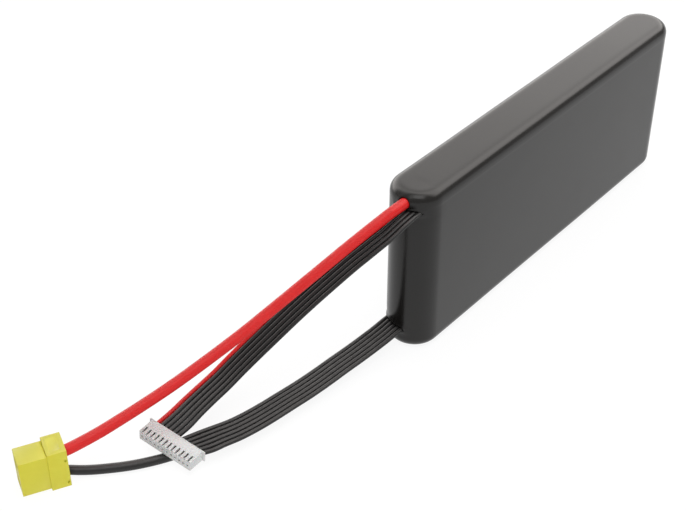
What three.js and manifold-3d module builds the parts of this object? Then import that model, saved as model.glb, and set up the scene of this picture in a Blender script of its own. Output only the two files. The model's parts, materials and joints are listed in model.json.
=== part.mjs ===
// Ten-cell lipo battery pack with its two main leads, power plug, balance wires and balance plug.
// Millimetres, +Z up. X runs along the pack, the cables leave the end at -X, and the origin is the
// middle of the narrow bottom face that the pack stands on.
import * as THREE from 'three';
import { mergeVertices } from 'three/addons/utils/BufferGeometryUtils.js';
import Module from 'manifold-3d';

const wasm = await Module();
wasm.setup();

// ---------- driving dimensions ----------
const GAP = 0.3; // clearance that touching pieces keep

const PACK = { length: 241, thickness: 28.5, height: 94, edge: 5.7, wall: 0.7 };
const END_X = -PACK.length / 2;
const ROUND = PACK.thickness / 2; // the two ends are half round in plan

const CELL = { count: 5, thickness: 4.5, height: 42, front: -96, back: 105.5 };
const STACK_BOTTOM = { lower: 3.4, upper: 48.6 };
const BOARD = { front: -104, thickness: 1.6, width: 23, height: 41 };

/** Main leads over their silicone; each hangs below its pole's middle by its droop inside the plug cap. */
const LEAD = {
  positive: { od: 5.6, droop: 0.5 },
  negative: { od: 4.7, droop: 1.2 },
};
const WIRE_OD = 2.22; // balance wire over its silicone
const WIRES = 6; // in each ribbon
const RIBBON_PITCH = 2.31; // wire spacing along a ribbon, where its wires all but touch
const PIN_PITCH = 2.5; // contact spacing of the balance plug
const PINS = 2 * WIRES;

const EXIT = {
  positive: { lead: [-1.3, 88.25], row: [-2.7, 84.1] },
  negative: { lead: [5, 7.2], row: [3.6, 11.2] },
};

const MAIN = {
  position: [-308.9, 69.8, 0],
  heading: THREE.MathUtils.degToRad(-27.35),
  seam: 0.05, // between the nose's shoulder and the cap
  noseLength: 13,
  noseWidth: 11.8,
  noseHeight: 19.6,
  capLength: 9,
  capWidth: 13.4,
  capShift: 0.35, // of the cap's middle to its +Y side
  capHeight: 21.8,
  capWall: 1,
  tongueWidth: 9.8, // of the body inside the cap
  rearWall: 1.5,
  polePitch: 11.6,
  boreRadius: 3.3,
  holeClearance: 0.8, // around each lead in the cap's rear wall
};
const MAIN_MIDDLE = MAIN.capHeight / 2;

const BALANCE = {
  position: [-251, 31.3, 5.8],
  tilt: THREE.MathUtils.degToRad(5.8),
  heading: THREE.MathUtils.degToRad(3.6),
  depth: 9.3,
  height: 5.75,
  margin: 1.7, // from the outer contacts' middle to the side of the body
  ear: 1.2,
  ridge: 0.8,
  contactHeight: 2.6,
};

// ---------- materials ----------
function finish(color, roughness, metalness = 0) {
  return new THREE.MeshStandardMaterial({ color, roughness, metalness });
}

const sleeveFilm = finish(0x4b4b4b, 0.45);
const pouchFoil = finish(0xb9bbbd, 0.35, 0.6);
const boardLaminate = finish(0x2f5d3a, 0.6);
const copper = finish(0xb87333, 0.35, 1);
const foam = finish(0x26282a, 0.95);
const sheetPlastic = finish(0xd8d4c4, 0.7);
const redSilicone = finish(0xcf4340, 0.5);
const blackSilicone = finish(0x2b2928, 0.5);
const whiteNylon = finish(0xcdccca, 0.5);
const yellowNylon = finish(0xcdc74d, 0.5);
const tin = finish(0xc9c9c4, 0.3, 1);
const gold = finish(0xd8b25a, 0.25, 1);

// ---------- solids ----------
/** A manifold solid from a closed three.js geometry. */
function solid(geometry, x = 0, y = 0, z = 0) {
  const bare = geometry.clone().translate(x, y, z);
  bare.deleteAttribute('normal');
  bare.deleteAttribute('uv');
  const merged = mergeVertices(bare, 1e-4);
  const mesh = new wasm.Mesh({
    numProp: 3,
    vertProperties: new Float32Array(merged.attributes.position.array),
    triVerts: new Uint32Array(merged.index.array),
  });
  return new wasm.Manifold(mesh);
}

/** A three.js geometry from a manifold solid. */
function geometryOf(body) {
  const mesh = body.getMesh();
  const geometry = new THREE.BufferGeometry();
  geometry.setAttribute('position', new THREE.BufferAttribute(new Float32Array(mesh.vertProperties), 3));
  geometry.setIndex(new THREE.BufferAttribute(new Uint32Array(mesh.triVerts), 1));
  geometry.computeVertexNormals();
  return geometry;
}

/** A box between two corners. */
function block(low, high) {
  const size = high.map((value, i) => value - low[i]);
  const middle = high.map((value, i) => (value + low[i]) / 2);
  return new THREE.BoxGeometry(...size).translate(...middle);
}

/** A cylinder along X between two stations. */
function rod(radius, x0, x1, y, z, sides = 24) {
  const geometry = new THREE.CylinderGeometry(radius, radius, x1 - x0, sides);
  return geometry.rotateZ(Math.PI / 2).translate((x0 + x1) / 2, y, z);
}

/** A slab with half-round ends and rounded top and bottom edges. */
function slab(length, thickness, height, edge, bottom) {
  const radius = thickness / 2;
  const reach = length / 2 - radius;
  const outline = new THREE.Shape();
  outline.absarc(reach, 0, radius, -Math.PI / 2, Math.PI / 2);
  outline.absarc(-reach, 0, radius, Math.PI / 2, (3 * Math.PI) / 2);
  const geometry = new THREE.ExtrudeGeometry(outline, {
    depth: height - 2 * edge,
    bevelThickness: edge,
    bevelSize: edge,
    bevelOffset: -edge,
    bevelSegments: 4,
    curveSegments: 18,
  });
  return geometry.translate(0, 0, bottom + edge);
}

/** A tube of one diameter along a smooth route. */
function tube(route, diameter, sides, steps) {
  const curve = new THREE.CatmullRomCurve3(route, false, 'centripetal');
  const section = new THREE.Shape();
  for (let i = 0; i < sides; i += 1) {
    const angle = ((i + 0.5) * 2 * Math.PI) / sides;
    const x = (diameter / 2) * Math.cos(angle);
    const y = (diameter / 2) * Math.sin(angle);
    if (i === 0) section.moveTo(x, y);
    else section.lineTo(x, y);
  }
  section.closePath();
  return new THREE.ExtrudeGeometry(section, { steps, extrudePath: curve, curveSegments: 1 });
}

function node(parent, name, geometry, material) {
  const mesh = new THREE.Mesh(geometry, material);
  mesh.name = name;
  parent.add(mesh);
  return mesh;
}

const pack = new THREE.Group();

// ---------- outer sleeve ----------
/** The opening in the cable end for one main lead and its row of balance wires. */
function exitOpening({ lead, row }, leadOd) {
  const halfRow = (RIBBON_PITCH * (WIRES - 1) + WIRE_OD) / 2 + 0.4;
  const halfSlot = WIRE_OD / 2 + 0.4;
  const inside = END_X + 8;
  const outside = END_X - 1;
  const slot = block(
    [outside, row[0] - halfRow, row[1] - halfSlot],
    [inside, row[0] + halfRow, row[1] + halfSlot],
  );
  const hole = rod(leadOd / 2 + 0.4, outside, inside, ...lead);
  return solid(slot).add(solid(hole));
}

const { length, thickness, height, edge, wall } = PACK;
const skin = solid(slab(length, thickness, height, edge, 0))
  .subtract(solid(slab(length - 2 * wall, thickness - 2 * wall, height - 2 * wall, edge - wall, wall)))
  .subtract(exitOpening(EXIT.positive, LEAD.positive.od))
  .subtract(exitOpening(EXIT.negative, LEAD.negative.od));
node(pack, 'outer_sleeve', geometryOf(skin), sleeveFilm);

// ---------- cells ----------
/** One pouch cell with its thin sealed lip and its two tabs, standing on z = 0 about y = 0. */
function pouchCell() {
  const lip = { reach: 3, half: 0.5 };
  const tab = { reach: 2.8, width: 9, half: 0.25, inset: 6 };
  const half = CELL.thickness / 2;
  const lipEnd = CELL.front - lip.reach;
  const tabEnd = lipEnd - tab.reach;
  const pouch = solid(block([CELL.front, -half, 0], [CELL.back, half, CELL.height]));
  const seal = solid(block([lipEnd, -lip.half, 1], [CELL.front + 1, lip.half, CELL.height - 1]));
  const low = solid(block([tabEnd, -tab.half, tab.inset], [lipEnd + 1, tab.half, tab.inset + tab.width]));
  const highEdge = CELL.height - tab.inset;
  const high = solid(block([tabEnd, -tab.half, highEdge - tab.width], [lipEnd + 1, tab.half, highEdge]));
  return geometryOf(pouch.add(seal).add(low).add(high));
}

const cellPitch = CELL.thickness + GAP;
for (const [stack, bottom] of Object.entries(STACK_BOTTOM)) {
  for (let i = 0; i < CELL.count; i += 1) {
    const cell = node(pack, `cell_${stack}_${i + 1}`, pouchCell(), pouchFoil);
    cell.position.set(0, (i - (CELL.count - 1) / 2) * cellPitch, bottom);
  }
}

// ---------- tab boards, terminals and series link ----------
const boardBack = BOARD.front + BOARD.thickness;
const boardSide = BOARD.width / 2;
for (const [stack, low] of Object.entries({ lower: 3, upper: 50 })) {
  const plate = block([BOARD.front, -boardSide, low], [boardBack, boardSide, low + BOARD.height]);
  node(pack, `tab_board_${stack}`, plate, boardLaminate);
}

const stripBack = BOARD.front - GAP;
const stripFront = stripBack - 1;
node(pack, 'series_link', block([stripFront, -6, 40], [stripBack, 6, 54]), copper);

for (const [pole, exit] of Object.entries(EXIT)) {
  const [y, z] = exit.lead;
  const pad = block([stripFront, y - 3, z - 2.5], [stripBack, y + 3, z + 2.5]);
  node(pack, `${pole}_terminal`, pad, copper);
}

// ---------- padding and stiffeners ----------
/** Half-round foam that fills one end of the sleeve. */
function endPad(side, low, high) {
  const radius = ROUND - wall - GAP;
  const middle = side * (length / 2 - ROUND);
  const outline = new THREE.Shape();
  const start = side > 0 ? -Math.PI / 2 : Math.PI / 2;
  outline.absarc(middle, 0, radius, start, start + Math.PI);
  outline.closePath();
  const geometry = new THREE.ExtrudeGeometry(outline, {
    depth: high - low,
    bevelEnabled: false,
    curveSegments: 16,
  });
  return geometry.translate(0, 0, low);
}

node(pack, 'foam_pad_cable_end', endPad(-1, 13, 81), foam);
node(pack, 'foam_pad_far_end', endPad(1, 6, 88), foam);

/** A sheet along the whole of the cells, between two pairs of sides and heights. */
function alongCells(side, low, high) {
  return block([CELL.front, -side, low], [CELL.back, side, high]);
}

const separatorSide = 11.8;
const middleHeight = height / 2;
const separator = alongCells(separatorSide, middleHeight - 0.5, middleHeight + 0.5);
node(pack, 'stack_separator', separator, sheetPlastic);

const plateInner = (CELL.count * cellPitch - GAP) / 2 + GAP + 0.05;
const plateOuter = plateInner + 0.8;
const plateEdge = 4.5;
for (const [name, side] of Object.entries({ left: -1, right: 1 })) {
  const ys = [side * plateInner, side * plateOuter].sort((a, b) => a - b);
  const plate = block([CELL.front, ys[0], plateEdge], [CELL.back, ys[1], height - plateEdge]);
  node(pack, `side_plate_${name}`, plate, sheetPlastic);
}

const guardSide = 8;
const guardEdge = wall + GAP;
const lowerStack = STACK_BOTTOM.lower - GAP;
const upperStack = STACK_BOTTOM.upper + CELL.height + GAP;
node(pack, 'edge_foam_bottom', alongCells(guardSide, guardEdge, lowerStack), foam);
node(pack, 'edge_foam_top', alongCells(guardSide, upperStack, height - guardEdge), foam);

// ---------- main power plug ----------
const mainPlug = new THREE.Group();
mainPlug.position.set(...MAIN.position);
mainPlug.rotation.z = MAIN.heading;
pack.add(mainPlug);

const poleHeights = {
  positive: MAIN_MIDDLE + MAIN.polePitch / 2,
  negative: MAIN_MIDDLE - MAIN.polePitch / 2,
};
const capFront = MAIN.noseLength + MAIN.seam;
const capBack = capFront + MAIN.capLength;
const tongueBack = MAIN.noseLength + 5;
const contactBack = tongueBack + 1.2;

/** A box of the plug between two stations along its axis, shifted to one side or centred on it. */
function plugBlock(x0, x1, width, tall, shift = 0) {
  const low = [x0, shift - width / 2, MAIN_MIDDLE - tall / 2];
  return block(low, [x1, shift + width / 2, MAIN_MIDDLE + tall / 2]);
}

const hollowWidth = MAIN.capWidth - 2 * MAIN.capWall;
const hollowHeight = MAIN.capHeight - 2 * MAIN.capWall;
const hollowBack = capBack - MAIN.rearWall;
const hollow = plugBlock(capFront - 1, hollowBack, hollowWidth, hollowHeight, MAIN.capShift);
let plugBody = solid(plugBlock(0, MAIN.noseLength, MAIN.noseWidth, MAIN.noseHeight))
  .add(solid(plugBlock(MAIN.noseLength - 1, tongueBack, MAIN.tongueWidth, hollowHeight - 1)));
let plugCap = solid(plugBlock(capFront, capBack, MAIN.capWidth, MAIN.capHeight, MAIN.capShift))
  .subtract(solid(hollow));
for (const [pole, z] of Object.entries(poleHeights)) {
  const { od, droop } = LEAD[pole];
  const hole = rod(od / 2 + MAIN.holeClearance, capBack - 3, capBack + 1, 0, z - droop);
  plugBody = plugBody.subtract(solid(rod(MAIN.boreRadius, -1, tongueBack + 1, 0, z)));
  plugCap = plugCap.subtract(solid(hole));
}

/** Two small blind latch pockets near the rear edge of one side of the cap. */
const latch = { length: 1, height: 1.6, depth: 0.7, fromRear: 1.1, middle: 9.3, fromMiddle: 6.6 };
for (const side of [-1, 1]) {
  const x = capBack - latch.fromRear;
  const z = latch.middle + side * latch.fromMiddle;
  const pocket = block(
    [x - latch.length / 2, -MAIN.capWidth, z - latch.height / 2],
    [x + latch.length / 2, latch.depth + MAIN.capShift - MAIN.capWidth / 2, z + latch.height / 2],
  );
  plugCap = plugCap.subtract(solid(pocket));
}
node(mainPlug, 'main_plug_body', geometryOf(plugBody), yellowNylon);
node(mainPlug, 'main_plug_cap', geometryOf(plugCap), yellowNylon);

for (const [pole, z] of Object.entries(poleHeights)) {
  const barrel = solid(rod(MAIN.boreRadius - GAP, 1, contactBack, 0, z));
  const socket = solid(rod(2.25, 0, tongueBack - 4, 0, z, 20));
  node(mainPlug, `main_contact_${pole}`, geometryOf(barrel.subtract(socket)), gold);
}

// ---------- balance plug ----------
const balancePlug = new THREE.Group();
balancePlug.position.set(...BALANCE.position);
balancePlug.rotation.set(BALANCE.tilt, 0, BALANCE.heading, 'ZYX');
pack.add(balancePlug);

const plugFront = -BALANCE.depth / 2;
const plugRear = BALANCE.depth / 2;
const bodySide = (PIN_PITCH * (PINS - 1)) / 2 + BALANCE.margin;
const earSide = bodySide + BALANCE.ear;
const pinY = (pin) => PIN_PITCH * ((PINS - 1) / 2 - pin); // pin 0 is at +Y
const pinZ = BALANCE.contactHeight;

let housing = solid(block([plugFront, -bodySide, 0], [plugRear, bodySide, BALANCE.height]))
  .add(solid(block([plugRear - BALANCE.ridge, -earSide, 0], [plugRear, earSide, BALANCE.height + 0.1])));
const bore = { half: 1, wall: 1.5 };
const mouth = 0.6;
const notch = { half: 0.5, reach: 3.9, drop: 1.1 };
const latchWindow = { lip: 0.9, drop: 2.4 }; // in the notch's floor, open to the chamber
for (let pin = 0; pin < PINS; pin += 1) {
  const y = pinY(pin);
  const chamber = block(
    [plugFront + bore.wall, y - bore.half, pinZ - bore.half],
    [plugRear + 1, y + bore.half, pinZ + bore.half],
  );
  const hole = block(
    [plugFront - 1, y - mouth, pinZ - mouth],
    [plugFront + bore.wall + 1, y + mouth, pinZ + mouth],
  );
  const groove = block(
    [plugFront - 1, y - notch.half, BALANCE.height - notch.drop],
    [plugFront + notch.reach, y + notch.half, BALANCE.height + 1],
  );
  const window = block(
    [plugFront + latchWindow.lip, y - notch.half, BALANCE.height - latchWindow.drop],
    [plugFront + notch.reach, y + notch.half, BALANCE.height + 1],
  );
  housing = housing.subtract(solid(chamber)).subtract(solid(hole));
  housing = housing.subtract(solid(groove)).subtract(solid(window));
}
node(balancePlug, 'balance_plug_housing', geometryOf(housing), whiteNylon);

for (let pin = 0; pin < PINS; pin += 1) {
  const half = bore.half - GAP;
  const box = block([plugFront + 2, -half, -half], [plugRear - 2.5, half, half]);
  const crimp = rod(0.6, plugRear - 3.5, plugRear - 0.1, 0, 0, 10);
  const contact = geometryOf(solid(box).add(solid(crimp)));
  const name = `balance_contact_${String(pin + 1).padStart(2, '0')}`;
  node(balancePlug, name, contact, tin).position.set(0, pinY(pin), pinZ);
}

// ---------- main leads ----------
pack.updateMatrixWorld(true);
const leadStart = stripFront - GAP;

/** A point of a turned plug, in the pack's own frame. */
function pointOn(group, x, y, z) {
  return group.localToWorld(new THREE.Vector3(x, y, z));
}

/** The last stretch of a lead, through the cap's rear hole and straight up to the back of its contact. */
function leadEnd(pole) {
  const z = poleHeights[pole] - LEAD[pole].droop;
  const solderJoint = contactBack + 0.6;
  return [pointOn(mainPlug, capBack, 0, z), pointOn(mainPlug, solderJoint, 0, z)];
}

const leadRoutes = {
  positive: [
    [leadStart, -1.3, 88.25], [-113, -1.3, 88.25], [-121, -1.3, 88.2], [-128, -0.6, 87.4],
    [-134, 1.1, 85.1], [-142, 3.7, 81.5], [-154, 8.2, 75.1], [-167, 13.3, 67.6], [-187, 21.5, 55.7],
    [-205, 28.3, 46], [-225, 35.2, 37.3], [-238, 39.8, 32], [-250, 44.2, 27.6], [-263, 49, 23.3],
    [-275, 53.4, 19.8],
  ],
  negative: [
    [leadStart, 5, 7.2], [-113, 5, 7.2], [-121, 5.1, 6.9], [-130, 5.9, 5.3], [-140, 7.6, 3.6],
    [-152, 9.9, 2.7], [-168, 12, 2.6], [-188, 13.7, 2.6], [-206, 16.5, 2.6], [-222, 20.3, 2.6],
    [-237, 24.5, 2.6], [-250, 29.6, 2.6], [-259.3, 34.5, 2.6], [-268.5, 40.7, 2.6], [-276.8, 47.8, 2.6],
    [-282.1, 52.7, 2.8], [-285.8, 56.2, 3.3],
  ],
};

function vectors(points) {
  return points.map((point) => new THREE.Vector3(...point));
}

const LEAD_SIDES = 10;
const LEAD_STEPS = 34;
for (const [pole, silicone] of Object.entries({ positive: redSilicone, negative: blackSilicone })) {
  const route = [...vectors(leadRoutes[pole]), ...leadEnd(pole)];
  node(pack, `${pole}_lead`, tube(route, LEAD[pole].od, LEAD_SIDES, LEAD_STEPS), silicone);
}

// ---------- balance wires ----------
const wireStart = BOARD.front - GAP;

/** Middle line of each ribbon; its wires lie side by side about it. */
const upperRibbon = [
  [wireStart, -2.7, 84.1], [-112, -2.7, 84.1], [-120, -2.8, 83.9], [-127, -2.4, 82.6], [-134, -0.9, 79.5],
  [-142, 2.6, 74.6], [-150, 7, 68.7], [-158, 11.7, 61.8], [-167, 16.7, 54.1], [-176, 21.7, 46],
  [-185, 26.4, 37.8], [-194, 30.6, 30.2], [-203, 33.8, 23.8], [-212, 35.8, 18.8], [-221, 37.1, 15.6],
  [-230, 37.7, 13.2], [-238, 38, 11],
];
const lowerRibbon = [
  [wireStart, 3.6, 11.2], [-112, 3.6, 11.2], [-120, 3.8, 11], [-128, 4.6, 9.7], [-137, 5.7, 8.5],
  [-147, 6.9, 7.5], [-158, 8, 7], [-170, 8.8, 6.8], [-182, 9.8, 6.8], [-194, 11.3, 6.8],
  [-205, 12.7, 6.8], [-215, 14.3, 6.9], [-224, 16.3, 7.1], [-232, 18.9, 7.4], [-238, 20.8, 7.6],
];

const WIRE_SIDES = 8;
const WIRE_STEPS = 36;

const plugSide = pointOn(balancePlug, 0, 1, 0).sub(pointOn(balancePlug, 0, 0, 0));

/** The route of one wire: beside its ribbon's middle line, fanning out to its own contact. */
function wireRoute(ribbon, place, pin) {
  const fromMiddle = (WIRES - 1) / 2 - place;
  const middle = vectors(ribbon);
  const far = middle.length - 1;
  const route = middle.map((point, i) => {
    const ahead = middle[Math.min(i + 1, far)];
    const behind = middle[Math.max(i - 1, 0)];
    const along = ahead.clone().sub(behind).normalize();
    const side = new THREE.Vector3(0, 1, 0).lerp(plugSide, (i / far) ** 2);
    side.addScaledVector(along, -side.dot(along)).normalize();
    const pitch = THREE.MathUtils.lerp(RIBBON_PITCH, PIN_PITCH, (i / far) ** 6);
    return point.clone().addScaledVector(side, fromMiddle * pitch);
  });
  route.push(pointOn(balancePlug, plugRear + GAP, pinY(pin), pinZ));
  return route;
}

for (let pin = 0; pin < PINS; pin += 1) {
  const ribbon = pin < WIRES ? upperRibbon : lowerRibbon;
  const route = wireRoute(ribbon, pin % WIRES, pin);
  const silicone = pin === 0 ? redSilicone : blackSilicone;
  const name = `balance_wire_${String(pin + 1).padStart(2, '0')}`;
  node(pack, name, tube(route, WIRE_OD, WIRE_SIDES, WIRE_STEPS), silicone);
}

export default pack;
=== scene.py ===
"""Looks of a ten-cell lipo battery pack with its leads, power plug, balance wires and balance plug.

Everything is in metres in the frame of the CAD model. The pack stands on z = 0 along X, and its
leads leave it at the -X end.
"""

import json
import math

import bmesh
import bpy
from mathutils import Matrix, Vector, noise


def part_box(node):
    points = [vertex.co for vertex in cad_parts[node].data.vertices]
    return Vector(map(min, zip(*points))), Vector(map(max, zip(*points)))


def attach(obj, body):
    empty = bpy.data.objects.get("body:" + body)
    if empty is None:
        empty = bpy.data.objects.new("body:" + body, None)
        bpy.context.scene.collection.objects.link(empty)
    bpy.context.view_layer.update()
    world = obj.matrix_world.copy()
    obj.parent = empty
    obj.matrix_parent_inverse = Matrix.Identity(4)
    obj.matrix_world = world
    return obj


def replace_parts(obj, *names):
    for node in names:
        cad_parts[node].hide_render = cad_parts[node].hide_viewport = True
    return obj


MM = 0.001

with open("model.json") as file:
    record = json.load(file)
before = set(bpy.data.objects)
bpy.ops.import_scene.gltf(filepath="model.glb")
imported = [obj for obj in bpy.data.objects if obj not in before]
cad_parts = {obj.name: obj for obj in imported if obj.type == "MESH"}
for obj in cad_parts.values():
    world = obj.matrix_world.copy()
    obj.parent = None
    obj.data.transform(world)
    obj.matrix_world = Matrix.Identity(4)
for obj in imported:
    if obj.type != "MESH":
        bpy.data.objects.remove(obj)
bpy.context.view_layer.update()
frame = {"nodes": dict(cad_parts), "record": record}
nodes = frame["nodes"]
mounts = {mount["name"]: mount for mount in frame["record"]["mounts"]}

# ---------- driving dimensions ----------
LEAD = {  # over the silicone; each hangs below its pole's middle by its droop inside the plug cap
    "positive": {"od": 5.6 * MM, "droop": 0.5 * MM},
    "negative": {"od": 4.7 * MM, "droop": 1.2 * MM},
}
WIRE_OD = 2.22 * MM
WIRES = 6  # in each ribbon
PINS = 2 * WIRES
RIBBON_PITCH = 2.31 * MM  # wire spacing along a ribbon, where its wires all but touch
PIN_PITCH = 2.5 * MM
GAP = 0.3 * MM  # between neighbouring pieces
PAST = 1 * MM  # how far a cutter or a joined block reaches past the surface it meets

SLEEVE_EDGE = 5.7 * MM  # radius of the rounding along the top and bottom rims
SLEEVE_FILM = 0.5 * MM
EXITS = {  # middles of the openings in the cable end, as (y, z)
    "positive": {"lead": (-1.3 * MM, 88.25 * MM), "row": (-2.7 * MM, 84.1 * MM)},
    "negative": {"lead": (5.0 * MM, 7.2 * MM), "row": (3.6 * MM, 11.2 * MM)},
}
EXIT_CUT = (-3 * MM, 9 * MM)  # the stretch along X that is cut out, from the cable end
SLOT = {"half_width": 7.6 * MM, "half_height": 1.4 * MM}  # round a row of wires
LEAD_HOLE = {pole: lead["od"] / 2 + 0.35 * MM for pole, lead in LEAD.items()}  # radius
BEAD = {"below_top": 6.8 * MM, "height": 0.05 * MM, "half_width": 0.6 * MM}
WAVES = {"length": 70 * MM, "height": 0.12 * MM}
RIPPLES = {"length": 14 * MM, "height": 0.015 * MM}  # twice as long along X

NOSE = {"length": 13 * MM, "width": 11.8 * MM, "height": 19.6 * MM}
CAP = {"length": 9 * MM, "width": 13.4 * MM, "height": 21.8 * MM, "wall": 1 * MM, "rear": 1.5 * MM}
CAP_SHIFT = 0.35 * MM  # of the cap's middle to its +Y side
TONGUE_WIDTH = 9.8 * MM  # of the plug's body inside the cap
POLE_PITCH = 11.6 * MM
BORE_RADIUS = 3.3 * MM
BORE_MOUTH = {"flare": 0.9 * MM, "depth": 0.35 * MM}
KEY_GROOVE = {"half_width": 2.6 * MM, "half_height": 0.5 * MM, "depth": 1.6 * MM}
HOLE_CLEARANCE = 0.8 * MM  # round each lead in the cap's rear wall
HOLE_FLARE = {"width": 1.25 * MM, "depth": 0.25 * MM}
SEAM = 0.05 * MM  # how far behind the nose's length the cap starts
# The panels sunk into the cap's top and underside, with their margins, and the pockets in its side.
PANEL = {"depth": 0.05 * MM, "front": 1.8 * MM, "rear": 2.4 * MM, "side": 2.2 * MM}
POCKET = {"half_length": 0.5 * MM, "half_height": 0.8 * MM, "depth": 0.95 * MM}
POCKET_PLACE = {"from_back": 1.1 * MM, "middle": -1.6 * MM, "from_middle": 6.6 * MM}

HOUSING = {
    "depth": 9.3 * MM,
    "height": 5.75 * MM,
    "margin": 1.7 * MM,  # from the middle of an outer contact to the side wall
    "ridge": 0.8 * MM,  # length of the rear ridge, which stands out by its ear and its rise
    "ear": 1.2 * MM,
    "rise": 0.1 * MM,
}
CONTACT_HEIGHT = 2.6 * MM
CHAMBER = {"start": 1.5 * MM, "half": 1 * MM}
CONTACT_HOLE = {"end": 2 * MM, "half": 0.6 * MM}
WINDOW_HALF = 0.5 * MM  # half the width of each notch, latch opening and window
NOTCH = {"reach": 3.9 * MM, "drop": 1.1 * MM}
LATCH = {"lip": 0.9 * MM, "drop": 2.4 * MM}  # in the notch's floor, open to the chamber
UNDER_WINDOW = {"start": 3.2 * MM, "end": 5.2 * MM, "depth": 0.9 * MM}


# ---------- camera ----------
def make_camera():
    """A camera at the photo's viewing angle, fitted to the outline of the pack."""
    data = bpy.data.cameras.new("camera")
    data.sensor_width = 36
    data.lens = 72.06
    data.clip_start = 0.01
    data.clip_end = 20
    camera = bpy.data.objects.new("camera", data)
    camera.location = (-0.5521, -0.3195, 0.4577)
    camera.rotation_euler = (math.radians(53.242), 0, math.radians(-50.541))
    bpy.context.scene.collection.objects.link(camera)
    bpy.context.scene.camera = camera


make_camera()


# ---------- where the two plugs are ----------
def centre(node):
    low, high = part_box(node)
    return (low + high) / 2


def placed(origin, forward, side):
    """The matrix of a plug whose own X runs from its face to its wires, and Y to one side."""
    x = Vector(forward).normalized()
    z = x.cross(Vector(side)).normalized()
    y = z.cross(x)
    columns = Matrix((x, y, z)).transposed().to_4x4()
    return Matrix.Translation(origin) @ columns


main_face = mounts["main_plug_face"]
main_back = -Vector(main_face["axis"])
MAIN = placed(Vector(main_face["pos_m"]), main_back, Vector((0, 0, 1)).cross(main_back))

balance_face = mounts["balance_plug_face"]
BALANCE = placed(
    Vector(balance_face["pos_m"]),
    -Vector(balance_face["axis"]),
    centre("balance_contact_01") - centre(f"balance_contact_{PINS}"),
)
BALANCE_FACE_HEIGHT = 2.9 * MM  # of the mount above the housing's underside


def on_main(x, y, z):
    """A point of the power plug, z from its middle."""
    return MAIN @ Vector((x, y, z))


def on_balance(x, y, z):
    """A point of the balance plug, z from its underside."""
    return BALANCE @ Vector((x, y, z - BALANCE_FACE_HEIGHT))


def pin_y(pin):
    return PIN_PITCH * ((PINS - 1) / 2 - pin)


# ---------- materials ----------
class Paint:
    """A Principled material whose colour, roughness and relief are built up in layers."""

    def __init__(self, name, color, roughness, metallic=0.0, specular=0.5):
        self.material = bpy.data.materials.new(name)
        self.material.use_nodes = True
        self.nodes = self.material.node_tree.nodes
        self.links = self.material.node_tree.links
        self.shader = self.nodes["Principled BSDF"]
        self.shader.inputs["Base Color"].default_value = (*color, 1)
        self.shader.inputs["Roughness"].default_value = roughness
        self.shader.inputs["Metallic"].default_value = metallic
        self.shader.inputs["Specular IOR Level"].default_value = specular
        self.color = color
        self.place = self.nodes.new("ShaderNodeTexCoord").outputs["Object"]
        self.height = None

    def stretched(self, scale):
        """Object coordinates scaled along each axis, for grain that runs one way."""
        mapping = self.nodes.new("ShaderNodeMapping")
        mapping.inputs["Scale"].default_value = scale
        self.links.new(self.place, mapping.inputs["Vector"])
        return mapping.outputs["Vector"]

    def noise(self, size, detail, rough=0.55, stretch=None):
        """Cloudy noise whose blotches are about size across."""
        texture = self.nodes.new("ShaderNodeTexNoise")
        texture.inputs["Scale"].default_value = 1 / size
        texture.inputs["Detail"].default_value = detail
        texture.inputs["Roughness"].default_value = rough
        self.links.new(self.stretched(stretch) if stretch else self.place, texture.inputs["Vector"])
        return texture.outputs["Fac"]

    def specks(self, size, radius):
        """Small round specks, 1 on a speck and 0 between, spaced about size apart."""
        texture = self.nodes.new("ShaderNodeTexVoronoi")
        texture.inputs["Scale"].default_value = 1 / size
        self.links.new(self.place, texture.inputs["Vector"])
        return self.levels(texture.outputs["Distance"], radius, radius * 0.6, 0, 1)

    def levels(self, value, low, high, to_low, to_high):
        """value from low..high spread over to_low..to_high."""
        spread = self.nodes.new("ShaderNodeMapRange")
        spread.inputs["From Min"].default_value = low
        spread.inputs["From Max"].default_value = high
        spread.inputs["To Min"].default_value = to_low
        spread.inputs["To Max"].default_value = to_high
        self.links.new(value, spread.inputs["Value"])
        return spread.outputs["Result"]

    def mix_color(self, amount, color):
        """Lays another colour over the base where amount is high."""
        mix = self.nodes.new("ShaderNodeMixRGB")
        base = self.shader.inputs["Base Color"]
        if base.is_linked:
            self.links.new(base.links[0].from_socket, mix.inputs["Color1"])
        else:
            mix.inputs["Color1"].default_value = (*self.color, 1)
        mix.inputs["Color2"].default_value = (*color, 1)
        self.links.new(amount, mix.inputs["Fac"])
        self.links.new(mix.outputs["Color"], base)

    def tint(self, value, low, high, most, color):
        """Another colour, from none where value is low to an amount of most where it is high."""
        self.mix_color(self.levels(value, low, high, 0, most), color)

    def vary_roughness(self, value, smooth, rough):
        """Roughness from smooth to rough over the middle of a noise's range."""
        spread = self.levels(value, 0.3, 0.7, smooth, rough)
        self.links.new(spread, self.shader.inputs["Roughness"])

    def relief(self, value, depth):
        """Fine relief of that depth in metres, added to any already there."""
        bump = self.nodes.new("ShaderNodeBump")
        bump.inputs["Strength"].default_value = 1.0
        bump.inputs["Distance"].default_value = depth
        self.links.new(value, bump.inputs["Height"])
        if self.height is not None:
            self.links.new(self.height, bump.inputs["Normal"])
        self.height = bump.outputs["Normal"]
        self.links.new(self.height, self.shader.inputs["Normal"])

    def paint_edge_highlight(self, color, start, full):
        """Painted highlight: another colour where the surface is sharply convex."""
        pointiness = self.nodes.new("ShaderNodeNewGeometry").outputs["Pointiness"]
        self.tint(pointiness, start, full, 1, color)

    def set(self, **sockets):
        """Uniform values, straight on the shader's own sockets."""
        for socket, value in sockets.items():
            self.shader.inputs[socket.replace("_", " ")].default_value = value
        return self


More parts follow.
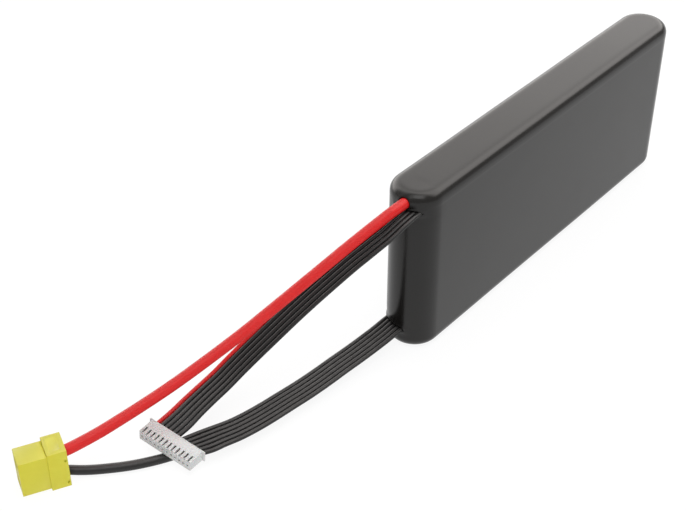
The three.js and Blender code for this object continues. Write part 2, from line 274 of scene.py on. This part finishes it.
def sleeve_film():
    """Near-black satin film: a fine grain, a little dust and slow changes of gloss."""
    paint = Paint("sleeve_film", (0.006, 0.0054, 0.0048), 0.25, specular=0.35)
    paint.tint(paint.noise(60 * MM, 3), 0.4, 0.7, 0.6, (0.0075, 0.007, 0.0065))
    paint.tint(paint.noise(1.5 * MM, 3), 0.5, 0.8, 0.4, (0.009, 0.0085, 0.008))
    paint.mix_color(paint.specks(3.4 * MM, 0.03), (0.02, 0.0195, 0.019))
    paint.vary_roughness(paint.noise(16 * MM, 5, 0.6), 0.23, 0.27)
    paint.relief(paint.noise(1.6 * MM, 3), 0.003 * MM)
    return paint.material


def silicone(name, color, light, dark, specular):
    """Soft lead covering, faintly ribbed along its length by the extruder, with a bloom of dust."""
    paint = Paint(name, color, 0.4, specular=specular)
    paint.tint(paint.noise(9 * MM, 4), 0.35, 0.75, 0.7, light)
    paint.tint(paint.noise(0.5 * MM, 3, stretch=(0.15, 1, 1)), 0.55, 0.8, 0.6, dark)
    paint.mix_color(paint.specks(1.4 * MM, 0.07), light)
    paint.vary_roughness(paint.noise(4 * MM, 4), 0.32, 0.5)
    paint.relief(paint.noise(0.45 * MM, 2, stretch=(0.12, 1, 1)), 0.012 * MM)
    return paint.material


def moulded(name, color, light, dark):
    """Moulded nylon: flow clouds, darker specks, painted highlights along the sharp edges and a
    finely eroded skin.
    """
    paint = Paint(name, color, 0.38)
    paint.tint(paint.noise(5 * MM, 4, stretch=(1, 0.5, 1)), 0.35, 0.75, 0.8, light)
    paint.tint(paint.noise(0.6 * MM, 3), 0.58, 0.8, 0.4, dark)
    # painted highlight: a paler colour along the sharply convex edges
    paint.paint_edge_highlight(light, 0.53, 0.6)
    paint.vary_roughness(paint.noise(1.8 * MM, 4), 0.3, 0.46)
    paint.relief(paint.noise(0.22 * MM, 2), 0.008 * MM)
    paint.set(Subsurface_Weight=0.08, Subsurface_Scale=1.5 * MM)
    return paint.material


def plated(name, color, stain, roughness):
    """Plated contact metal with drawn lines along the part and a slight tarnish."""
    paint = Paint(name, color, roughness, metallic=1.0)
    paint.tint(paint.noise(2 * MM, 4), 0.45, 0.8, 0.6, stain)
    paint.vary_roughness(paint.noise(0.8 * MM, 4), roughness * 0.7, roughness * 1.5)
    paint.relief(paint.noise(0.12 * MM, 2, stretch=(0.1, 1, 1)), 0.004 * MM)
    return paint.material


def pouch_foil():
    paint = Paint("pouch_foil", (0.52, 0.53, 0.54), 0.32, metallic=0.85)
    paint.tint(paint.noise(20 * MM, 3), 0.4, 0.7, 0.5, (0.44, 0.45, 0.46))
    paint.vary_roughness(paint.noise(3 * MM, 4), 0.24, 0.42)
    paint.relief(paint.noise(2.2 * MM, 3), 0.08 * MM)
    paint.relief(paint.noise(0.3 * MM, 2), 0.006 * MM)
    return paint.material


def board_laminate():
    paint = Paint("board_laminate", (0.02, 0.12, 0.05), 0.35)
    paint.tint(paint.noise(0.5 * MM, 2, stretch=(1, 6, 1)), 0.45, 0.65, 0.5, (0.03, 0.16, 0.07))
    paint.tint(paint.noise(6 * MM, 3), 0.5, 0.8, 0.6, (0.015, 0.09, 0.04))
    paint.vary_roughness(paint.noise(2 * MM, 3), 0.28, 0.45)
    paint.relief(paint.noise(0.4 * MM, 2), 0.01 * MM)
    return paint.material


def foam():
    paint = Paint("foam", (0.024, 0.025, 0.027), 0.92, specular=0.2)
    cells = paint.nodes.new("ShaderNodeTexVoronoi")
    cells.inputs["Scale"].default_value = 1 / (0.6 * MM)
    paint.links.new(paint.place, cells.inputs["Vector"])
    paint.tint(cells.outputs["Distance"], 0.2, 0.8, 0.8, (0.05, 0.052, 0.055))
    paint.relief(cells.outputs["Distance"], 0.12 * MM)
    return paint.material


def sheet_plastic():
    paint = Paint("sheet_plastic", (0.64, 0.60, 0.48), 0.55)
    weave = paint.nodes.new("ShaderNodeTexWave")
    weave.inputs["Scale"].default_value = 160
    weave.inputs["Distortion"].default_value = 1.5
    paint.links.new(paint.place, weave.inputs["Vector"])
    paint.tint(weave.outputs["Fac"], 0.2, 0.8, 0.5, (0.56, 0.52, 0.40))
    paint.vary_roughness(paint.noise(3 * MM, 3), 0.45, 0.65)
    paint.relief(weave.outputs["Fac"], 0.015 * MM)
    return paint.material


MATERIALS = {
    "sleeve_film": sleeve_film(),
    "red_silicone": silicone(
        "red_silicone",
        color=(0.66, 0.012, 0.012),
        light=(0.7, 0.02, 0.019),
        dark=(0.58, 0.008, 0.008),
        specular=0.25,
    ),
    "black_silicone": silicone(
        "black_silicone",
        color=(0.011, 0.0105, 0.0105),
        light=(0.015, 0.0145, 0.0145),
        dark=(0.008, 0.008, 0.007),
        specular=0.38,
    ),
    "yellow_nylon": moulded(
        "yellow_nylon",
        color=(0.62, 0.57, 0.022),
        light=(0.66, 0.61, 0.034),
        dark=(0.57, 0.52, 0.018),
    ),
    "white_nylon": moulded(
        "white_nylon",
        color=(0.6, 0.605, 0.6),
        light=(0.64, 0.645, 0.64),
        dark=(0.54, 0.54, 0.53),
    ),
    "gold_plate": plated("gold_plate", (0.83, 0.58, 0.22), (0.6, 0.36, 0.12), 0.24),
    "tinned_contact": plated("tinned_contact", (0.62, 0.61, 0.58), (0.42, 0.4, 0.37), 0.3),
    "copper_strip": plated("copper_strip", (0.75, 0.33, 0.18), (0.45, 0.17, 0.09), 0.32),
    "pouch_foil": pouch_foil(),
    "board_laminate": board_laminate(),
    "foam": foam(),
    "sheet_plastic": sheet_plastic(),
}


def coat(piece, slot):
    """Gives a piece its material."""
    piece.data.materials.clear()
    piece.data.materials.append(MATERIALS[slot])


def dress(piece, slot):
    """Coats a new piece and lets it ride on the pack."""
    coat(piece, slot)
    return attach(piece, "root")


# ---------- cords ----------
def smooth_route(points, step):
    """Points about step apart on the centripetal Catmull-Rom curve through the given ones."""
    knots = [2 * points[0] - points[1], *points, 2 * points[-1] - points[-2]]
    route = []
    for p0, p1, p2, p3 in zip(knots, knots[1:], knots[2:], knots[3:]):
        t1 = math.sqrt((p1 - p0).length)
        t2 = t1 + math.sqrt((p2 - p1).length)
        t3 = t2 + math.sqrt((p3 - p2).length)
        count = max(2, round((p2 - p1).length / step))
        for i in range(count):
            t = t1 + (t2 - t1) * i / count
            a1 = p0 + (p1 - p0) * (t / t1)
            a2 = p1 + (p2 - p1) * ((t - t1) / (t2 - t1))
            a3 = p2 + (p3 - p2) * ((t - t2) / (t3 - t2))
            b1 = a1 + (a2 - a1) * (t / t2)
            b2 = a2 + (a3 - a2) * ((t - t1) / (t3 - t1))
            route.append(b1 + (b2 - b1) * ((t - t1) / (t2 - t1)))
    return [*route, points[-1]]


def cord_curve(name, route, diameter, slot):
    data = bpy.data.curves.new(name, "CURVE")
    data.dimensions = "3D"
    data.bevel_depth = diameter / 2
    data.bevel_resolution = 5
    data.use_fill_caps = True
    spline = data.splines.new("POLY")
    spline.points.add(len(route) - 1)
    for point, place in zip(spline.points, route):
        point.co = (*place, 1)
    spline.use_smooth = True
    cord = bpy.data.objects.new(name, data)
    bpy.context.scene.collection.objects.link(cord)
    return dress(cord, slot)


POLE_HEIGHT = {"positive": POLE_PITCH / 2, "negative": -POLE_PITCH / 2}  # from the plug's middle
CAP_FRONT = NOSE["length"] + SEAM
CAP_BACK = CAP_FRONT + CAP["length"]
TONGUE_BACK = NOSE["length"] + 5 * MM
CONTACT_BACK = TONGUE_BACK + 1.2 * MM
SOLDER_JOINT = CONTACT_BACK + 0.6 * MM

LEAD_ROUTES = {
    "positive": [
        (-0.1056, -0.0013, 0.08825), (-0.113, -0.0013, 0.08825), (-0.121, -0.0013, 0.0882),
        (-0.128, -0.0006, 0.0874), (-0.134, 0.0011, 0.0851), (-0.142, 0.0037, 0.0815),
        (-0.154, 0.0082, 0.0751), (-0.167, 0.0133, 0.0676), (-0.187, 0.0215, 0.0557),
        (-0.205, 0.0283, 0.046), (-0.225, 0.0352, 0.0373), (-0.238, 0.0398, 0.032),
        (-0.25, 0.0442, 0.0276), (-0.263, 0.049, 0.0233), (-0.275, 0.0534, 0.0198),
    ],
    "negative": [
        (-0.1056, 0.005, 0.0072), (-0.113, 0.005, 0.0072), (-0.121, 0.0051, 0.0069),
        (-0.13, 0.0059, 0.0053), (-0.14, 0.0076, 0.0036), (-0.152, 0.0099, 0.0027),
        (-0.168, 0.012, 0.0026), (-0.188, 0.0137, 0.0026), (-0.206, 0.0165, 0.0026),
        (-0.222, 0.0203, 0.0026), (-0.237, 0.0245, 0.0026), (-0.25, 0.0296, 0.0026),
        (-0.2593, 0.0345, 0.0026), (-0.2685, 0.0407, 0.0026), (-0.2768, 0.0478, 0.0026),
        (-0.2821, 0.0527, 0.0028), (-0.2858, 0.0562, 0.0033),
    ],
}

# The middle line of each ribbon of wires; its wires lie side by side about it.
UPPER_RIBBON = [
    (-0.1043, -0.0027, 0.0841), (-0.112, -0.0027, 0.0841), (-0.12, -0.0028, 0.0839),
    (-0.127, -0.0024, 0.0826), (-0.134, -0.0009, 0.0795), (-0.142, 0.0026, 0.0746),
    (-0.15, 0.007, 0.0687), (-0.158, 0.0117, 0.0618), (-0.167, 0.0167, 0.0541),
    (-0.176, 0.0217, 0.046), (-0.185, 0.0264, 0.0378), (-0.194, 0.0306, 0.0302),
    (-0.203, 0.0338, 0.0238), (-0.212, 0.0358, 0.0188), (-0.221, 0.0371, 0.0156),
    (-0.23, 0.0377, 0.0132), (-0.238, 0.038, 0.011),
]
LOWER_RIBBON = [
    (-0.1043, 0.0036, 0.0112), (-0.112, 0.0036, 0.0112), (-0.12, 0.0038, 0.011),
    (-0.128, 0.0046, 0.0097), (-0.137, 0.0057, 0.0085), (-0.147, 0.0069, 0.0075),
    (-0.158, 0.008, 0.007), (-0.17, 0.0088, 0.0068), (-0.182, 0.0098, 0.0068),
    (-0.194, 0.0113, 0.0068), (-0.205, 0.0127, 0.0068), (-0.215, 0.0143, 0.0069),
    (-0.224, 0.0163, 0.0071), (-0.232, 0.0189, 0.0074), (-0.238, 0.0208, 0.0076),
]


def lead_route(pole):
    height = POLE_HEIGHT[pole] - LEAD[pole]["droop"]
    points = [Vector(point) for point in LEAD_ROUTES[pole]]
    points.append(on_main(CAP_BACK, 0, height))
    points.append(on_main(SOLDER_JOINT, 0, height))
    return smooth_route(points, 1.5 * MM)


def wire_route(ribbon, place, pin):
    """The route of one wire: beside its ribbon's middle line, fanning out to its own contact."""
    from_middle = (WIRES - 1) / 2 - place
    plug_side = (BALANCE.to_3x3() @ Vector((0, 1, 0))).normalized()
    middle = [Vector(point) for point in ribbon]
    far = len(middle) - 1
    points = []
    for i, point in enumerate(middle):
        along = (middle[min(i + 1, far)] - middle[max(i - 1, 0)]).normalized()
        side = Vector((0, 1, 0)).lerp(plug_side, (i / far) ** 2)
        side = (side - along * side.dot(along)).normalized()
        fanned = (i / far) ** 6  # nearly all of it close to the plug
        pitch = RIBBON_PITCH + (PIN_PITCH - RIBBON_PITCH) * fanned
        points.append(point + side * from_middle * pitch)
    points.append(on_balance(HOUSING["depth"] + GAP, pin_y(pin), CONTACT_HEIGHT))
    return smooth_route(points, 0.8 * MM)


for pole, colour in {"positive": "red", "negative": "black"}.items():
    route = lead_route(pole)
    lead = cord_curve(f"{pole}_lead_cover", route, LEAD[pole]["od"], f"{colour}_silicone")
    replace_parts(lead, f"{pole}_lead")

for pin in range(PINS):
    ribbon = UPPER_RIBBON if pin < WIRES else LOWER_RIBBON
    route = wire_route(ribbon, pin % WIRES, pin)
    colour = "red" if pin == 0 else "black"
    wire = cord_curve(f"balance_wire_cover_{pin + 1:02d}", route, WIRE_OD, f"{colour}_silicone")
    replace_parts(wire, f"balance_wire_{pin + 1:02d}")


# ---------- mesh tools ----------
def new_piece(name, bm):
    mesh = bpy.data.meshes.new(name)
    bmesh.ops.recalc_face_normals(bm, faces=bm.faces)
    bm.to_mesh(mesh)
    bm.free()
    piece = bpy.data.objects.new(name, mesh)
    bpy.context.scene.collection.objects.link(piece)
    return piece


def apply_modifiers(piece):
    """Turns a piece's modifiers into its own mesh."""
    bpy.context.view_layer.update()
    finished = piece.evaluated_get(bpy.context.evaluated_depsgraph_get())
    mesh = bpy.data.meshes.new_from_object(finished)
    piece.modifiers.clear()
    piece.data = mesh


def combine(piece, other, operation):
    """Cuts the other solid out of a piece or joins it on; the other is used up."""
    boolean = piece.modifiers.new("boolean", "BOOLEAN")
    boolean.operation = operation
    boolean.solver = "EXACT"
    boolean.object = other
    apply_modifiers(piece)
    bpy.data.objects.remove(other)


def cut(piece, *shapes):
    """Cuts each of the given bmesh shapes out of a piece."""
    for shape in shapes:
        combine(piece, new_piece("cutter", shape), "DIFFERENCE")


def join(piece, shape):
    combine(piece, new_piece("part", shape), "UNION")


def smooth(piece):
    piece.data.polygons.foreach_set("use_smooth", [True] * len(piece.data.polygons))


def soften(piece, width, segments):
    """Rounds every sharp edge a little and shades the piece smooth."""
    bevel = piece.modifiers.new("bevel", "BEVEL")
    bevel.width = width
    bevel.segments = segments
    bevel.limit_method = "ANGLE"
    bevel.angle_limit = math.radians(35)
    bevel.use_clamp_overlap = True
    bevel.harden_normals = True
    apply_modifiers(piece)
    smooth(piece)


def add_box(bm, low, high):
    size = [b - a for a, b in zip(low, high)]
    middle = [(a + b) / 2 for a, b in zip(low, high)]
    matrix = Matrix.Translation(middle) @ Matrix.Diagonal((*size, 1))
    bmesh.ops.create_cube(bm, size=1, matrix=matrix)
    return bm


def box(low, high):
    return add_box(bmesh.new(), low, high)


def rounded_box(low, high, width):
    piece = new_piece("rounded", box(low, high))
    soften(piece, width, 4)
    bm = bmesh.new()
    bm.from_mesh(piece.data)
    bpy.data.objects.remove(piece)
    return bm


def bridge(bm, rings):
    """Faces between each ring of vertices and the next."""
    for a, b in zip(rings, rings[1:]):
        for i in range(len(a)):
            j = (i + 1) % len(a)
            bm.faces.new((a[i], a[j], b[j], b[i]))


def turned(profile, y, z):
    """A closed solid turned about a line along X at (y, z), from its (x, radius) profile."""
    sides = 48
    bm = bmesh.new()
    rings = []
    for x, radius in profile:
        ring = []
        for i in range(sides):
            angle = 2 * math.pi * i / sides
            place = (x, y + radius * math.cos(angle), z + radius * math.sin(angle))
            ring.append(bm.verts.new(place))
        rings.append(ring)
    bridge(bm, rings)
    bm.faces.new(rings[0])
    bm.faces.new(reversed(rings[-1]))
    return bm


def put(piece, matrix):
    """Moves a piece's mesh from a plug's own axes to its place."""
    piece.data.transform(matrix)
    piece.data.update()


# ---------- sleeve ----------
def bell(distance, half_width):
    return math.exp(-((distance / half_width) ** 2))


def off_opening(y, z):
    """How far a point of the cable end is from the nearest exit opening, 0 inside it."""
    distances = []
    for pole, place in EXITS.items():
        lead_y, lead_z = place["lead"]
        row_y, row_z = place["row"]
        from_lead = math.hypot(y - lead_y, z - lead_z) - LEAD_HOLE[pole]
        aside = max(abs(y - row_y) - SLOT["half_width"], 0)
        above = max(abs(z - row_z) - SLOT["half_height"], 0)
        distances += [max(from_lead, 0), math.hypot(aside, above)]
    return min(distances)


def film_relief(place, below_top):
    """How far the film stands proud: waves, a bead under the top rim and lips round the exits."""
    waves = noise.noise(place / WAVES["length"]) * WAVES["height"]
    drawn = Vector((place.x / 2, place.y, place.z))
    ripples = noise.noise(drawn / RIPPLES["length"]) * RIPPLES["height"]
    bead = BEAD["height"] * bell(below_top - BEAD["below_top"], BEAD["half_width"])
    lip = 0.0
    on_cable_end = place.x < -106 * MM
    if on_cable_end:
        away = off_opening(place.y, place.z)
        tug = noise.noise(Vector((place.y, place.z, 0)) / (2.4 * MM))
        lip = 0.22 * MM * bell(away, 0.9 * MM)  # curled out at the opening
        lip -= 0.08 * MM * bell(away - 2.6 * MM, 1.8 * MM)  # drawn in beyond it
        lip += 0.03 * MM * tug * math.exp(-away / (3.5 * MM))
    return waves + ripples + bead + lip


def steps(start, end, count):
    """count even steps from start, without the end itself."""
    return [start + (end - start) * i / count for i in range(count)]


def sleeve_shell(inset, fine):
    """A closed grid: the sleeve's slab with half-round ends and rounded rims, inset all round.

    The fine one carries the film's relief.
    """
    low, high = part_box("outer_sleeve")
    radius = (high.y - low.y) / 2 - inset
    reach = (high.x - low.x) / 2 - (high.y - low.y) / 2
    edge = SLEEVE_EDGE - inset
    bottom, top = low.z + inset, high.z - inset

    straight, round_end = (120, 64) if fine else (24, 16)
    outline = [(x, -90) for x in steps(-reach, reach, straight)]
    outline += [(reach, angle) for angle in steps(-90, 90, round_end)]
    outline += [(x, 90) for x in steps(reach, -reach, straight)]
    outline += [(-reach, angle) for angle in steps(90, 270, round_end)]

    # Each row is how far inside the outline it lies, its height, and how far its normal leans out.
    quarter = steps(0, math.pi / 2, 10 if fine else 5)
    rows = [(inside, bottom, 0) for inside in steps(radius, edge, 6)]
    rows += [
        (edge - edge * math.sin(a), bottom + edge - edge * math.cos(a), math.sin(a))
        for a in quarter
    ]
    busy = 11 * MM  # the stretch next to each rim, where the exits and beads are
    for start, end, spacing in (
        (bottom + edge, bottom + edge + busy, 0.35 * MM),
        (bottom + edge + busy, top - edge - busy, 1.6 * MM),
        (top - edge - busy, top - edge, 0.35 * MM),
    ):
        number = round((end - start) / (spacing if fine else 8 * MM)) + 1
        rows += [(0, z, 1) for z in steps(start, end, number)]
    rows += [
        (edge - edge * math.cos(a), top - edge + edge * math.sin(a), math.cos(a))
        for a in quarter
    ]
    rows += [(inside, top, 0) for inside in steps(edge, radius, 6)] + [(radius, top, 0)]

    bm = bmesh.new()
    rings = []
    for inside, z, outward in rows:
        upward = math.copysign(math.sqrt(max(1 - outward**2, 0)), z - (bottom + top) / 2)
        ring = []
        for x, angle in outline:
            direction = Vector((math.cos(math.radians(angle)), math.sin(math.radians(angle)), 0))
            place = Vector((x, 0, z)) + direction * (radius - inside)
            if fine:
                normal = direction * outward + Vector((0, 0, upward))
                place += normal * film_relief(place, top - z)
                place.z = max(place.z, 0)
            ring.append(bm.verts.new(place))
        rings.append(ring)
    bridge(bm, rings)
    bmesh.ops.remove_doubles(bm, verts=bm.verts, dist=1e-6)
    return bm


def exit_slot(place):
    """A slit through the cable end of the sleeve, which narrows to a point at both ends."""
    row_y, row_z = place["row"]
    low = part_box("outer_sleeve")[0]
    start, end = (low.x + along for along in EXIT_CUT)
    count = 14
    upper, lower = [], []
    for i in range(count + 1):
        u = 2 * i / count - 1
        half = SLOT["half_height"] * (1 - abs(u) ** 5) + 0.02 * MM  # open even at its points
        upper.append((row_y + u * SLOT["half_width"], row_z + half))
        lower.append((row_y + u * SLOT["half_width"], row_z - half))
    outline = upper + lower[::-1]
    bm = bmesh.new()
    ends = [[bm.verts.new((x, y, z)) for y, z in outline] for x in (start, end)]
    bm.faces.new(ends[0])
    bm.faces.new(ends[1][::-1])
    bridge(bm, ends)
    return bm


def make_sleeve():
    sleeve = new_piece("shrink_sleeve", sleeve_shell(0, True))
    cut(sleeve, sleeve_shell(SLEEVE_FILM, False))
    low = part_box("outer_sleeve")[0]
    for pole, place in EXITS.items():
        profile = [(low.x + along, LEAD_HOLE[pole]) for along in EXIT_CUT]
        cut(sleeve, exit_slot(place), turned(profile, *place["lead"]))
    smooth(sleeve)
    dress(sleeve, "sleeve_film")
    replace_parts(sleeve, "outer_sleeve")


make_sleeve()


# ---------- power plug ----------
def make_plug_body():
    half_width, half_height = NOSE["width"] / 2, NOSE["height"] / 2
    tongue_width = TONGUE_WIDTH / 2
    tongue_height = CAP["height"] / 2 - CAP["wall"] - 0.5 * MM
    shoulder = CAP_FRONT + 0.1 * MM
    body = new_piece(
        "power_plug_body",
        box((0, -half_width, -half_height), (shoulder, half_width, half_height)),
    )
    soften(body, 0.2 * MM, 4)
    tongue = box(
        (NOSE["length"] - PAST, -tongue_width, -tongue_height),
        (TONGUE_BACK, tongue_width, tongue_height),
    )
    join(body, tongue)
    bore = [
        (-PAST, BORE_RADIUS + BORE_MOUTH["flare"]),
        (BORE_MOUTH["depth"], BORE_RADIUS),
        (TONGUE_BACK + PAST, BORE_RADIUS),
    ]
    for z in POLE_HEIGHT.values():
        cut(body, turned(bore, 0, z))
    aside, up = KEY_GROOVE["half_width"], KEY_GROOVE["half_height"]
    cut(body, box((-PAST, -aside, -up), (KEY_GROOVE["depth"], aside, up)))
    soften(body, 0.07 * MM, 2)
    put(body, MAIN)
    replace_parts(dress(body, "yellow_nylon"), "main_plug_body")
    return body


def make_plug_cap():
    half_width, half_height = CAP["width"] / 2, CAP["height"] / 2
    near, far = CAP_SHIFT - half_width, CAP_SHIFT + half_width
    inner_height = half_height - CAP["wall"]
    cap = new_piece(
        "power_plug_cap",
        box((CAP_FRONT, near, -half_height), (CAP_BACK, far, half_height)),
    )
    soften(cap, 0.22 * MM, 4)
    hollow_back = CAP_BACK - CAP["rear"]
    hollow = box(
        (CAP_FRONT - PAST, near + CAP["wall"], -inner_height),
        (hollow_back, far - CAP["wall"], inner_height),
    )
    cut(cap, hollow)
    for pole, z in POLE_HEIGHT.items():
        hole = LEAD[pole]["od"] / 2 + HOLE_CLEARANCE
        rim = [
            (hollow_back - PAST, hole),
            (CAP_BACK - HOLE_FLARE["depth"], hole),
            (CAP_BACK + PAST, hole + HOLE_FLARE["width"]),
        ]
        cut(cap, turned(rim, 0, z - LEAD[pole]["droop"]))

    panels = bmesh.new()  # sunk a little into the top and underside
    start, end = CAP_FRONT + PANEL["front"], CAP_BACK - PANEL["rear"]
    for side in (-1, 1):
        inner, outer = sorted((side * (half_height - PANEL["depth"]), side * (half_height + PAST)))
        add_box(panels, (start, near + PANEL["side"], inner), (end, far - PANEL["side"], outer))
    cut(cap, panels)

    pockets = bmesh.new()
    x = CAP_BACK - POCKET_PLACE["from_back"]
    along, up = POCKET["half_length"], POCKET["half_height"]
    for side in (-1, 1):
        z = POCKET_PLACE["middle"] + side * POCKET_PLACE["from_middle"]
        high = (x + along, near + POCKET["depth"], z + up)
        add_box(pockets, (x - along, near - PAST, z - up), high)
    cut(cap, pockets)
    soften(cap, 0.06 * MM, 2)
    put(cap, MAIN)
    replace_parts(dress(cap, "yellow_nylon"), "main_plug_cap")
    return cap


def make_power_contact(pole):
    """A turned socket with sprung fingers at its mouth and a solder cup at its back."""
    z = POLE_HEIGHT[pole]
    radius, neck, cup = BORE_RADIUS - GAP, 2.75 * MM, 2.6 * MM
    profile = [
        (1 * MM, 2.7 * MM), (1.35 * MM, radius), (8 * MM, radius),
        (8.2 * MM, neck), (9 * MM, neck),
        (9.2 * MM, radius), (16.5 * MM, radius),
        (16.7 * MM, cup), (CONTACT_BACK, cup),
    ]
    contact = new_piece(f"power_contact_{pole}", turned(profile, 0, z))
    bore, cup_bore = 2.25 * MM, 2.1 * MM
    cut(contact, turned([(0, neck), (1.5 * MM, bore), (14 * MM, bore)], 0, z))
    cut(contact, turned([(CONTACT_BACK - 3 * MM, cup_bore), (CONTACT_BACK + PAST, cup_bore)], 0, z))
    slit, across, end = 0.22 * MM, 4 * MM, 7 * MM
    cut(contact, box((0, -slit, z - across), (end, slit, z + across)))
    cut(contact, box((0, -across, z - slit), (end, across, z + slit)))
    soften(contact, 0.05 * MM, 2)
    put(contact, MAIN)
    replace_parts(dress(contact, "gold_plate"), f"main_contact_{pole}")
    return contact


plug_body = make_plug_body()
plug_cap = make_plug_cap()
power_contacts = {pole: make_power_contact(pole) for pole in POLE_HEIGHT}


# ---------- balance plug ----------
def make_housing():
    depth, height = HOUSING["depth"], HOUSING["height"]
    side = PIN_PITCH * (PINS - 1) / 2 + HOUSING["margin"]
    ear_side = side + HOUSING["ear"]
    housing = new_piece("balance_housing", box((0, -side, 0), (depth, side, height)))
    soften(housing, 0.28 * MM, 4)
    ridge_front, ridge_top = depth - HOUSING["ridge"], height + HOUSING["rise"]
    join(housing, rounded_box((ridge_front, -ear_side, 0), (depth, ear_side, ridge_top), 0.2 * MM))

    for half, start, end, bottom, top in (
        (
            CHAMBER["half"], CHAMBER["start"], depth + PAST,
            CONTACT_HEIGHT - CHAMBER["half"], CONTACT_HEIGHT + CHAMBER["half"],
        ),
        (
            CONTACT_HOLE["half"], -PAST, CONTACT_HOLE["end"],
            CONTACT_HEIGHT - CONTACT_HOLE["half"], CONTACT_HEIGHT + CONTACT_HOLE["half"],
        ),
        (WINDOW_HALF, -PAST, NOTCH["reach"], height - NOTCH["drop"], height + PAST),
        (WINDOW_HALF, LATCH["lip"], NOTCH["reach"], height - LATCH["drop"], height + PAST),
        (WINDOW_HALF, UNDER_WINDOW["start"], UNDER_WINDOW["end"], -PAST, UNDER_WINDOW["depth"]),
    ):
        openings = bmesh.new()
        for pin in range(PINS):
            y = pin_y(pin)
            add_box(openings, (start, y - half, bottom), (end, y + half, top))
        cut(housing, openings)
    soften(housing, 0.05 * MM, 2)
    housing.data.transform(Matrix.Translation((0, 0, -BALANCE_FACE_HEIGHT)))
    put(housing, BALANCE)
    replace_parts(dress(housing, "white_nylon"), "balance_plug_housing")
    return housing


housing = make_housing()

# ---------- pieces that keep their CAD shape ----------
INNER = {  # by the start of the node's name: its material, and the rounding of its edges
    "cell_": ("pouch_foil", 0.9 * MM),
    "tab_board_": ("board_laminate", 0.15 * MM),
    "series_link": ("copper_strip", 0.15 * MM),
    "positive_terminal": ("copper_strip", 0.2 * MM),
    "negative_terminal": ("copper_strip", 0.2 * MM),
    "foam_pad_": ("foam", 0.8 * MM),
    "edge_foam_": ("foam", 0.4 * MM),
    "stack_separator": ("sheet_plastic", 0.15 * MM),
    "side_plate_": ("sheet_plastic", 0.2 * MM),
    "balance_contact_": ("tinned_contact", 0.1 * MM),
}
for name, node in nodes.items():
    for start, (slot, rounding) in INNER.items():
        if name.startswith(start):
            coat(node, slot)
            bevel = node.modifiers.new("rounded_edges", "BEVEL")
            bevel.width = rounding
            bevel.segments = 2
            bevel.limit_method = "ANGLE"
            bevel.angle_limit = math.radians(40)


# ---------- floor and light ----------
def make_floor():
    """A studio floor that looks white, lit from within like a light table."""
    paint = Paint("floor", (0.13, 0.13, 0.13), 0.8, specular=0.1)
    paint.tint(paint.noise(400 * MM, 3), 0.3, 0.8, 0.5, (0.12, 0.12, 0.12))
    paint.set(Emission_Color=(1, 1, 1, 1), Emission_Strength=0.9)
    bm = bmesh.new()
    bmesh.ops.create_grid(bm, x_segments=2, y_segments=2, size=6)
    floor = new_piece("floor", bm)
    floor.data.materials.append(paint.material)


def make_world():
    """What the gloss mirrors: a dim horizon and near side, and a white ceiling on the far side."""
    world = bpy.data.worlds.new("studio")
    world.use_nodes = True
    tree = world.node_tree
    sky = tree.nodes.new("ShaderNodeTexCoord").outputs["Generated"]

    def toward(direction, start, end, at_start, at_end):
        """at_start..at_end as the sky turns from start to end, both cosines to that direction."""
        cosine = tree.nodes.new("ShaderNodeVectorMath")
        cosine.operation = "DOT_PRODUCT"
        cosine.inputs[1].default_value = direction
        tree.links.new(sky, cosine.inputs[0])
        spread = tree.nodes.new("ShaderNodeMapRange")
        spread.inputs["From Min"].default_value = start
        spread.inputs["From Max"].default_value = end
        spread.inputs["To Min"].default_value = at_start
        tree.links.new(cosine.outputs["Value"], spread.inputs["Value"])
        if isinstance(at_end, float):
            spread.inputs["To Max"].default_value = at_end
        else:
            tree.links.new(at_end, spread.inputs["To Max"])
        return spread.outputs["Result"]

    horizon, near_side, ceiling_middle, ceiling_edge = 0.55, 0.6, 2.02, 4.1
    ceiling = toward((0.55, 0.55, 0.63), 1, 0.74, ceiling_middle, ceiling_edge)
    far_side_up = toward((0.951, 0.309, 0), -0.15, 0.15, near_side, ceiling)
    brightness = toward((0, 0.35, 0.937), 0.2, 0.3, horizon, far_side_up)
    background = tree.nodes["Background"]
    background.inputs["Color"].default_value = (1, 0.965, 0.94, 1)
    tree.links.new(brightness, background.inputs["Strength"])
    world.cycles_visibility.diffuse = False
    bpy.context.scene.world = world


def softbox(name, place, target, size, radiance, mirrored=True):
    """A rectangular area light of even brightness, which gloss mirrors or not."""
    data = bpy.data.lights.new(name, "AREA")
    data.shape = "RECTANGLE"
    data.size, data.size_y = size
    data.energy = radiance * math.pi * size[0] * size[1]
    light = bpy.data.objects.new(name, data)
    light.location = place
    light.rotation_euler = (Vector(target) - Vector(place)).to_track_quat("-Z", "Y").to_euler()
    light.visible_glossy = mirrored
    bpy.context.scene.collection.objects.link(light)


make_floor()
make_world()
softbox("key", (-0.72, -0.42, 1.45), (0, 0, 0.05), (0.9, 0.9), 2.6)
softbox("overhead", (0.2, 0.1, 2.2), (0, 0, 0), (2.6, 2.6), 1.8, mirrored=False)
softbox("fill", (-0.95, -1.2, 0.45), (-0.2, 0, 0.05), (1.8, 1.1), 1.6, mirrored=False)
bpy.context.scene.view_settings.view_transform = "Standard"

# ---------- bring the scene up to date --------------------------------
bpy.context.view_layer.update()
